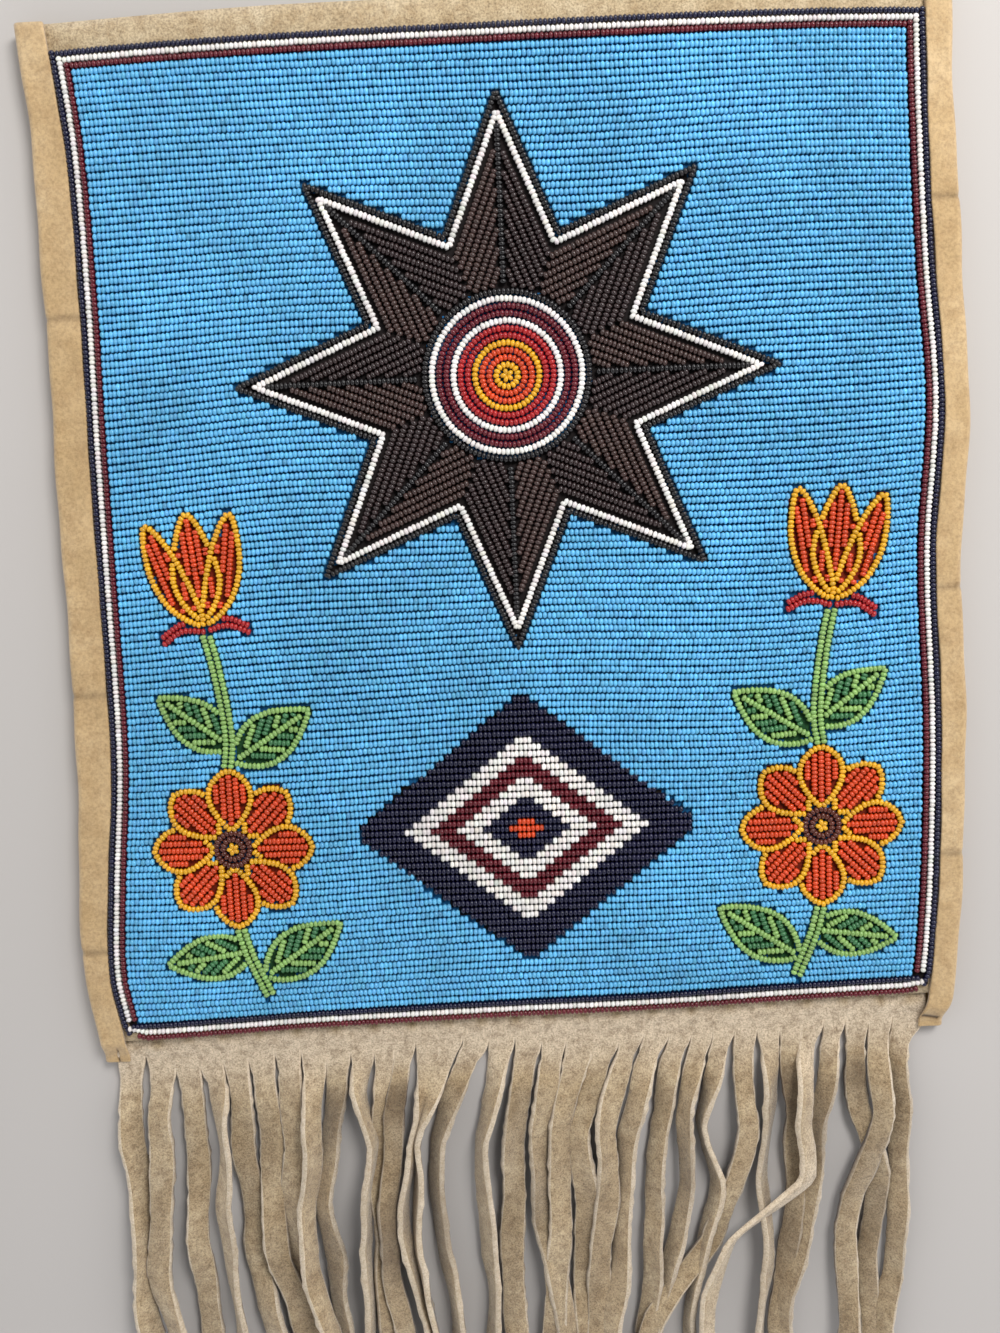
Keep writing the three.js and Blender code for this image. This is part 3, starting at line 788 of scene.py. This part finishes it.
def bead_piece(name, rows, material, rng, slot, nodes, lane=ROW_PITCH):
    """One mesh of many beads, as wide as their lane. rows are x, y, angle, spacing, lift, colour name."""
    shape, shape_faces = bead_template()
    count = len(rows)
    x, y, angle, spacing, lift = np.array([row[:5] for row in rows]).T
    tint = bead_colours([row[5] for row in rows], rng)
    long = np.minimum(spacing, 1.2 * BEAD_PITCH) * rng.uniform(0.88, 0.96, count)
    half = 0.5 * lane * rng.uniform(1.05, 1.13, count)
    high = 0.5 * BEAD_HEIGHT * rng.uniform(1.02, 1.12, count)
    angle = angle + np.radians(rng.normal(0, 3.0, count))
    x = x + rng.normal(0, 0.035, count)
    y = y + rng.normal(0, 0.045, count)
    along = shape[None, :, 0] * long[:, None]
    across = shape[None, :, 1] * half[:, None]
    up = (shape[None, :, 2] - BEAD_FOOT) * high[:, None]
    cos, sin = np.cos(angle)[:, None], np.sin(angle)[:, None]
    base = (front_under(x, y) + HIDE + GAP + lift)[:, None]
    place = np.stack([
        x[:, None] + along * cos - across * sin,
        y[:, None] + along * sin + across * cos,
        base + up,
    ], -1).reshape(-1, 3)
    faces = [[k * len(shape) + corner for corner in face] for k in range(count) for face in shape_faces]
    mesh = add_piece(name, place, faces, [material], slot, nodes).data
    rgba = np.concatenate([tint, np.ones((count, 1))], 1)
    colour = mesh.attributes.new("tint", "FLOAT_COLOR", "POINT")
    colour.data.foreach_set("color", np.repeat(rgba, len(shape), axis=0).astype(np.float32).ravel())
    # Each bead has a small cell of its own on the map, because its colour is its own
    cells = math.ceil(math.sqrt(count))
    cell = np.stack([np.arange(count) % cells, np.arange(count) // cells], 1) + 0.5
    lean = np.stack([shape[:, 0] + 0.3 * shape[:, 2], 0.5 * shape[:, 1] + 0.2 * shape[:, 2]], 1)
    spots = (cell[:, None] + 0.5 * lean[np.concatenate(shape_faces)][None]) / cells
    mesh.uv_layers.new(name="OFBake").data.foreach_set("uv", spots.astype(np.float32).ravel())


def border_strings():
    """Colour and line of each lane of the border: left, right, top and bottom, with rounded lower corners."""
    # Colour from the outside in, and how far from the left and right corners its lower lane stops
    order = (("navy", 2.6, 2.4), ("white", 1.4, 1.2), ("maroon", 4.2, 3.0))
    count = 160
    depth = len(order) * LANE_PITCH
    for i, (colour, short_left, short_right) in enumerate(order):
        inset = (i + 0.5) * LANE_PITCH - LANE_SHIFT
        bottom_inset = (len(order) - i - 0.5) * LANE_PITCH - LANE_SHIFT
        top = BEAD_TOP - inset
        for edge, inwards in ((left_edge, 1), (right_edge, -1)):
            corner = beading_foot(edge(SEAM_MIDDLE))
            low = corner + (LANE_PITCH if i == 0 else depth + 0.3 * LANE_PITCH)
            y = np.linspace(low, top + LANE_PITCH / 2, count)
            drawn_in = 1.4 * ease(corner + 6, corner + 1, y) * (i == 0)
            yield colour, np.stack([edge(y) + inwards * (inset + drawn_in), y], 1)
        beside = inset + LANE_PITCH / 2
        x = np.linspace(left_edge(top) + beside, right_edge(top) - beside, count)
        yield colour, np.stack([x, np.full_like(x, top)], 1)
        # The ends of the lower lanes climb
        x = np.linspace(LOW_LEFT + short_left, LOW_RIGHT - short_right, count)
        climb = 1.2 * ease(LOW_LEFT + 8, LOW_LEFT + 2, x) + 0.6 * ease(LOW_RIGHT - 7, LOW_RIGHT - 2, x)
        yield colour, np.stack([x, beading_foot(x) + bottom_inset + climb * (i > 0)], 1)


def make_beads():
    """All the beads. Gives back the plan of the figures."""
    rng = np.random.default_rng(SEED)
    material = bead_material()
    work = Beadwork()
    star(work, centre=np.array([0.5, 44.0]), reach=76)
    stepped_diamond(work, centre=(0.5, -85.0), steps=19)
    sprays(work)
    work.lay_strings()
    work.lay_regions()
    work.lay_ground("beads_ground", rng)
    for piece, rows in sorted(work.beads.items()):
        parts = math.ceil(len(rows) / BEADS_A_PIECE)
        for k in range(parts):
            part = rows[k * len(rows) // parts:(k + 1) * len(rows) // parts]
            name = f"{piece}_{k + 1}" if parts > 1 else piece
            bead_piece(name, part, material, rng, "bead_ground", ["bead_field"])
    border = Beadwork()
    for colour, line in border_strings():
        border.lay(colour, line, np.ones(len(line), bool), colour)
    for colour, rows in border.beads.items():
        nodes = [f"border_{side}_{colour}" for side in ("left", "right", "top", "bottom")]
        bead_piece(f"beads_border_{colour}", rows, material, rng, f"bead_{colour}", nodes, LANE_PITCH)
    return work


# Hide panels


def gap_shade_name(piece, colour):
    """Name of the painted shade in the gaps under a figure's beads."""
    if piece != SPRAYS:
        return "dark"
    return colour if colour in PAINTED_GAP_SHADES else "leaf"


def panel_grid(across_count, up_count):
    """Plan of a panel: points from binding to binding and from the lower hem to the mouth."""
    up = np.linspace(0, 1, up_count)[:, None]
    across = np.linspace(0, 1, across_count)[None]
    guess = left_edge(0) + (right_edge(0) - left_edge(0)) * across
    low = beading_foot(guess) - SEAM_HEM
    y = low + (MOUTH - low) * up
    left = left_edge(y) - PANEL_REACH["left"]
    right = right_edge(y) + PANEL_REACH["right"]
    return left + (right - left) * across, y


def make_panels(work):
    """Back and front panels. Under the beads the hide carries painted shade, as dark as the shade between
    them and tinted by the beads.
    """
    hide = suede_material("panel_suede", ((170, 148, 112), (194, 174, 140), (208, 192, 162)),
                          stain=(150, 122, 84), grain=1700.0, patch=60.0, bump=0.35)
    gap_shade_materials = []
    # Hide materials painted with the shade in the gaps between beads, one for each colour of beads
    for name, tone in PAINTED_GAP_SHADES.items():
        tones = [np.multiply(tone, k) for k in (0.87, 1, 1.13)]
        gap_shade_materials.append(suede_material(f"painted_shade_under_beads_{name}", tones, stain=np.multiply(tone, 0.83),
                                      grain=1500.0, patch=90.0, bump=0.2, sheen=0.0))
    kind_of = {name: kind for kind, name in enumerate(PAINTED_GAP_SHADES, 1)}
    labels = ["ground", *[gap_shade_name(piece, colour) for piece, _, colour, *_ in work.regions]]
    kind_of_label = np.array([kind_of[label] for label in labels])
    for name, under, counts in (("back", back_under, (41, 47)), ("front", front_under, (101, 117))):
        x, y = panel_grid(*counts)
        z = under(x, y)
        if name == "front":
            z = z + ease(BEAD_TOP, MOUTH, y) * wave(x, 0.25, 13)
        points, faces = closed_sheet(np.stack([x, y, z], -1), np.stack([x, y, z + HIDE], -1))
        middle = points[faces].mean(1)
        upper_face = middle[:, 2] > front_under(middle[:, 0], middle[:, 1]) + HIDE / 2
        inset = np.min([
            middle[:, 0] - left_edge(middle[:, 1]),
            right_edge(middle[:, 1]) - middle[:, 0],
            middle[:, 1] - beading_foot(middle[:, 0]),
            BEAD_TOP - middle[:, 1],
        ], axis=0)
        owner = work.chart.owner[work.chart.cells(middle[:, :2])]
        # Painted shade: dark under the border's lanes, the figure's own colour under a figure, blue under the
        # ground
        kinds = np.where(inset < BORDER_WIDTH - 1, kind_of["dark"], kind_of_label[owner])
        kinds = kinds * upper_face * (inset > 1.2) * (name == "front")
        nodes = [f"{name}_panel"]
        panel = add_piece(f"{name}_hide", points, faces.tolist(), [hide, *gap_shade_materials], "panel_hide", nodes)
        panel.data.polygons.foreach_set("material_index", kinds.astype(np.int32))


# Side bindings


def binding_section(side, y, foot):
    """Section of a binding at a height: points outwards from the beading's edge and up, and the painted shade
    at each.

    It is a slack fold, creased in places. The left one's end is nicked, the right one's turned up.
    """
    turn = np.linspace(-math.pi / 2, math.pi / 2, 11)
    legs = np.linspace(0.95, 0.05, 19)
    middle = (BINDING_LIFT + BINDING_TOP) / 2
    tall = BINDING_TOP - middle
    fold = sum(bell(y - crease, 0.9) for crease in BINDING_CREASES[side])
    puff = wave(y, 0.22, 7.3) + wave(y, 0.15, 3.1, 1)
    uneven = wave(y, 0.25, 11) + wave(y, 0.15, 4.3, 2)
    wide = BINDING_WIDTH[side](y) + uneven - 0.3 * fold
    inner = 0.4 + wave(y, 0.12, 9.1) + wave(y, 0.1, 3.7)
    round_out = wide - BINDING_ROUND * tall

    def arc(half, angles):
        return [(round_out + BINDING_ROUND * half * math.cos(a), middle + half * math.sin(a)) for a in angles]

    if side == "left":
        crack = 0.52 + wave(y - foot, 0.04, 1)
        dips = ease(foot + 6, foot + 3, y) * bell(legs - crack, 0.05)
    else:
        slant = y - foot - 3.2 - 1.2 * (0.5 - legs)
        dips = bell(slant, 0.55)
    top = BINDING_TOP + puff * np.sin(math.pi * legs) - 0.35 * fold - 0.7 * dips
    loop = [
        (inner, BINDING_LIFT),
        *arc(tall, turn),
        *zip(inner + (round_out - inner) * legs, top),
        (inner, BINDING_TOP - 0.2),
        (inner, BINDING_ROOF),
        *arc(tall - HIDE, turn[::-1]),
        (inner, BINDING_INSIDE),
    ]
    # Painted shade darkens the creases, the nick at the left end and the fold of the turned-up right end
    shade = np.full(len(loop), 0.4 * fold)
    shade[1 + len(turn):1 + len(turn) + len(legs)] += dips
    return loop, shade


def make_bindings():
    """Side bindings, pressed flat towards their lower ends."""
    hide = suede_material("binding_hide", ((168, 140, 97), (186, 158, 116), (200, 175, 136)),
                          stain=(158, 128, 88), grain=1100.0, patch=45.0, bump=0.2, nap_depth=0.4)
    for side, edge, low_end, out in (("left", left_edge, LOW_LEFT, -1), ("right", right_edge, LOW_RIGHT, 1)):
        foot = seam(low_end) - BINDING_DROP[side]
        heights = np.concatenate([np.linspace(foot, foot + 8, 25), np.linspace(foot + 9, MOUTH, 190)])
        sections, shades = [], []
        for y in heights:
            loop, shade = binding_section(side, y, foot)
            flat = 1 - BINDING_PRESSED * ease(foot + 7, foot + 1, y)
            line = edge(y) - BINDING_PULL[side] * ease(foot + 10, foot + 1, y)
            section = [(line + out * n, y, BINDING_LIFT + (z - BINDING_LIFT) * flat) for n, z in loop]
            sections.append(section[::-out])
            shades.append(shade[::-out])
        sections = np.array(sections)
        nodes = [f"side_binding_{side}"]
        binding = add_piece(f"binding_{side}", *swept(sections), [hide], "binding_hide", nodes)
        add_shade(binding, np.array(shades).ravel().clip(0, 1))
        girth = np.linalg.norm(np.roll(sections, -1, 1) - sections, axis=2).sum(1).mean()
        flat = ((girth / 2 - HIDE) * MM, (MOUTH - foot) * MM)


# Fringe as a mesh


def strip_line(index, down, rng):
    """Course of a strip at distances below its cut.

    It is the middle line, the turn, the half width, how much wider the strip is along x, and its height.
    """
    strip = STRIPS[index]
    last = len(STRIPS) - 1
    spacing = STRIPS[min(index + 1, last)].cut - STRIPS[max(index - 1, 0)].cut
    spacing = spacing / (2 if 0 < index < last else 1)
    width = min(max(spacing * STRIP_FILL, STRIP_WIDTH[0]), STRIP_WIDTH[1])
    places = [*STRIP_MARKS, STRIP_LENGTH]
    route = [*strip[:len(STRIP_MARKS)], 1.4 * strip.foot - 0.4 * strip.low]
    # Hide bends in kinks, so the line lies between a smooth curve and straight runs
    x = 0.4 * look_up(places, route, down) + 0.6 * np.interp(down, places, route)
    loose = ease(4, 30, down)
    phase = rng.uniform(0, 2 * math.pi, 6)
    kinks = np.arcsin(np.sin(down / 8.5 + phase[0])) * 2 / math.pi
    x = x + loose * (STRIP_KINK * kinks + wave(down, 0.25, 4.4, phase[1]))
    lean = np.gradient(x) / np.maximum(np.gradient(down), GAP)
    spread = np.sqrt(1 + lean**2)
    begins = rng.uniform(-2, 8)
    sway = wave(down, 14, 15, phase[2]) + wave(down, 7, 6.1, phase[3])
    # A strip that is turned far sways only further
    if abs(strip.turn) > 20:
        sway = math.copysign(1, strip.turn) * np.abs(sway)
    angle = np.radians((strip.turn * ease(begins, begins + 18, down) + sway * loose).clip(-80, 80))
    narrowed = 0.09 * bell(down - 7, 6)
    half = 0.5 * width * (1 - narrowed + wave(down, 0.05, 4.7, phase[4]))
    reach = half * np.abs(np.sin(angle)) + 0.5 * STRIP_HIDE * np.cos(angle)
    lying = FLOOR_CLEARANCE + reach + strip.over * STRIP_HIDE * ease(4, 26, down)
    lying = lying + loose * (STRIP_LOFT + wave(down, STRIP_LOFT, 12, phase[5]) + 0.7 * (index % 2))
    root = HEADER_FOOT + FRINGE_HIDE / 2
    z = root + (lying - root) * ease(0, 14, down)
    return x, angle, half, spread, z


def strip_grids(index, borders, tips, rng):
    """Upper and lower points of a strip with its share of the header, and the soil and painted shade at the
    points of each.
    """
    length = STRIP_LENGTH - STRIP_TRIM * (0.5 + 0.5 * math.sin(2.4 * index))
    header = np.linspace(-HEADER_DEPTH - HEADER_TUCK, 0, HEADER_ROWS)
    below = np.concatenate([np.linspace(0, 0.3, 19)[1:], np.linspace(0.32, 1, 34)]) * length
    down = np.concatenate([header, below])[:, None]
    row = np.arange(len(down))[:, None]
    x, angle, half, spread, z = (v[:, None] for v in strip_line(index, np.maximum(down[:, 0], 0), rng))
    sloping = HIDE + GAP + (HEADER_FOOT - HIDE - GAP) * ease(-HEADER_DEPTH, 0, down) + FRINGE_HIDE / 2
    z = np.where(down < 0, sloping, z)
    # The strip keeps to its share of the header above its cuts, and comes away below them
    kept_left = ease(tips[0] + 4, tips[0], row)
    kept_right = ease(tips[1] + 4, tips[1], row)
    a = STRIP_ACROSS[None]
    rim = np.abs(a) == 1
    kept = np.where(a < 0, -a * kept_left, a * kept_right)
    kept = kept + np.maximum(kept_left, kept_right) * (1 - np.abs(a))
    free = 1 - kept
    middle = 0.5 * (borders[0] + borders[1])
    shared = middle + np.abs(a) * (np.where(a < 0, borders[0], borders[1]) - middle)
    ragged = rim * rng.normal(0, STRIP_RAGGED, (len(down), len(STRIP_ACROSS)))
    px = x + a * half * spread * np.cos(angle) + ragged
    px = px + (shared - px) * kept
    curl = free * (a**2 - 0.4) * wave(down, STRIP_CURL, 21, 1.9 * index)
    pz = z + free * a * half * np.sin(angle) + curl
    # Near the bindings the header stops at the panels' hem, where the back panel climbs
    inset = np.minimum(px - LOW_LEFT, LOW_RIGHT - px)
    tucked = SEAM_HEM + GAP + (-HEADER_TUCK - SEAM_HEM - GAP) * ease(RAMP_FOOT, RAMP_FOOT + 4, inset)
    kept_out = HEADER_DEPTH - tucked - (seam(px) - beading_foot(px))
    squeeze = np.where(down < 0, kept_out / (HEADER_DEPTH + HEADER_TUCK), 1)
    py = seam(px) - HEADER_DEPTH - down * squeeze
    # The strip that comes out of the binding's end lies between its two layers
    pz = pz + 0.6 * ease(1, -1, inset) * ease(6, 0, down)
    # Stitches dimple the header just under the beading, and it is full between them and the cuts
    stitch = px + wave(px, 1.6, 19)
    near = np.abs((stitch / STITCH_PITCH) % 1 - 0.5) * STITCH_PITCH
    drawn = ease(-3.0, -8.0, down) * bell(near, 1.5)
    pz = pz - STITCH_DIMPLE * drawn + 0.45 * ease(-1, -5, down) * np.cos(2 * math.pi * near / STITCH_PITCH)
    pz = pz + 0.7 * (ease(-8.5, -5, down) * ease(4, -3, down))
    # Handling has soiled the strips in patches, and the header is paler; painted shade darkens the stitch
    # dimples
    patch = 0.6 + wave(down, 0.4, 8, 2.3 * index)
    soil = STRIPS[index].soil * patch * ease(3, 16, down) * (0.55 + 0.45 * ease(95, 35, down))
    bleach = 0.85 * ease(20, -1, down)
    shade = (soil - bleach) + wave(a, 0.06, 0.5, 1.7 * index) + 1.3 * drawn
    thick = 0.5 * np.where(row < HEADER_ROWS, FRINGE_HIDE, STRIP_HIDE)
    thick = thick * (STRIP_ROUND + (1 - STRIP_ROUND) * np.where(a < 0, kept_left, kept_right))
    tilt = np.sin(angle) * free
    upright = np.sqrt(1 - tilt**2)
    top = np.stack([px - tilt * thick, py, pz + thick * upright], -1)
    low = np.stack([px + tilt * thick, py, pz - thick * upright], -1)
    # Painted shade: a cut edge that is turned up stays light, one that lies flat or is turned down is
    # darkened, and so is the underside
    lifted = a * rim * tilt
    painted_edge_shade = 0.7 * rim * free * np.clip(0.5 - 2.4 * lifted, 0, 1)
    under = 0.85 * free * (1 - np.clip(2 * lifted, 0, 1))
    return top, low, shade + painted_edge_shade, shade + under


def make_fringe():
    face = suede_material("fringe_suede", ((156, 133, 98), (183, 161, 126), (205, 186, 153)),
                          stain=(120, 93, 60), grain=1900.0, patch=90.0, bump=0.5, sheen=0.3)
    cut_edge = suede_material("fringe_cut_edge", ((190, 173, 149), (205, 190, 167), (217, 203, 183)),
                              stain=(176, 154, 124), grain=1800.0, patch=200.0, bump=0.3, nap_depth=0.5)
    rng = np.random.default_rng(SEED + 1)
    cuts = np.array([strip.cut for strip in STRIPS], float)
    left = cuts[0] - STRIP_WIDTH[1] / 2
    right = LOW_RIGHT + GAP
    borders = np.concatenate([[left], (cuts[1:] + cuts[:-1]) / 2, [right]])
    tips = [HEADER_ROWS, *[strip.slit for strip in STRIPS]]
    points, shades, faces, kinds = [], [], [], []
    for i in range(len(STRIPS)):
        top, low, top_shade, low_shade = strip_grids(i, borders[i:i + 2], tips[i:i + 2], rng)
        points.append((top, low))
        shades.append((top_shade, low_shade))
    index = np.arange(np.size(shades)).reshape(np.shape(shades))
    same = index.copy()
    for i, (top, low) in enumerate(index):
        # Above the end of the cut, the strip has the same points as the strip before it
        if i:
            same[i, :, :tips[i] + 1, 0] = index[i - 1, :, :tips[i] + 1, -1]
        trimmed = np.zeros(np.subtract(top.shape, 1), int)
        trimmed[tips[i]:, 0] = 1
        trimmed[tips[i + 1]:, -1] = 1
        faces += [grid_quads(top, True), grid_quads(low)]
        kinds += [trimmed.ravel(), trimmed.ravel()]
        first_left = tips[i] if i else 0
        first_right = tips[i + 1] if i < len(STRIPS) - 1 else 0
        for rim in (top[first_left:, 0][::-1], top[first_right:, -1], top[-1][::-1], top[0]):
            faces.append(np.stack([rim[:-1], rim[1:], rim[1:] + top.size, rim[:-1] + top.size], 1))
            kinds.append(np.ones(len(rim) - 1, int))
    used, faces = np.unique(same.ravel()[np.concatenate(faces)], return_inverse=True)
    faces = faces.reshape(-1, 4).tolist()
    points = np.reshape(points, (-1, 3))[used]
    fringe = add_piece("fringe_hide", points, faces, [face, cut_edge], "fringe_hide", ["fringe"])
    fringe.data.polygons.foreach_set("material_index", np.concatenate(kinds).astype(np.int32))
    add_shade(fringe, np.ravel(shades)[used])


# Stage


def make_floor():
    corners = [(FLOOR_HALF * x, FLOOR_HALF * y, 0) for x, y in ((-1, -1), (1, -1), (1, 1), (-1, 1))]
    floor = add_object("floor", corners, [(0, 1, 2, 3)], [floor_material()])
    floor.location.z = -0.05 * MM
    floor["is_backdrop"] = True


def make_lights():
    """A soft room that is brighter round its walls than overhead, and a window."""
    scene = bpy.context.scene
    scene.view_settings.view_transform = "Standard"
    scene.world = bpy.data.worlds.new("soft_room")
    scene.world.use_nodes = True
    tree = scene.world.node_tree
    background = tree.nodes["Background"]
    background.inputs["Color"].default_value = (0.98, 0.985, 1.0, 1)
    up = add_node(tree, "ShaderNodeSeparateXYZ")
    tree.links.new(add_node(tree, "ShaderNodeTexCoord").outputs["Generated"], up.inputs["Vector"])
    strength = add_range(tree, up.outputs["Z"], HORIZON_LIGHT, ZENITH_LIGHT)
    tree.links.new(strength, background.inputs["Strength"])
    light = bpy.data.lights.new("window", "AREA")
    light.shape = "DISK"
    light.size = 0.3
    light.energy = 4.9
    light.color = (1.0, 0.98, 0.96)
    lamp = bpy.data.objects.new("window", light)
    lamp.location = WINDOW_PLACE
    lamp.rotation_euler = Vector(WINDOW_PLACE).to_track_quat("Z", "Y").to_euler()
    scene.collection.objects.link(lamp)


def make_camera():
    camera = bpy.data.cameras.new("camera")
    camera.sensor_width = SENSOR
    camera.lens = SENSOR * FOCAL_PIXELS / FRAME_HIGH
    camera.clip_start = 0.01
    eye = bpy.data.objects.new("camera", camera)
    eye.location = [v * MM for v in CAMERA_PLACE]
    eye.rotation_euler = [math.radians(a) for a in CAMERA_TURN]
    bpy.context.scene.collection.objects.link(eye)
    bpy.context.scene.camera = eye


make_camera()
make_floor()
make_lights()
make_panels(make_beads())
make_bindings()
make_fringe()

boxes = {"cad": CAD_BOX, "visual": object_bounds()}
{name: [[float(v) for v in corner] for corner in box] for name, box in boxes.items()}
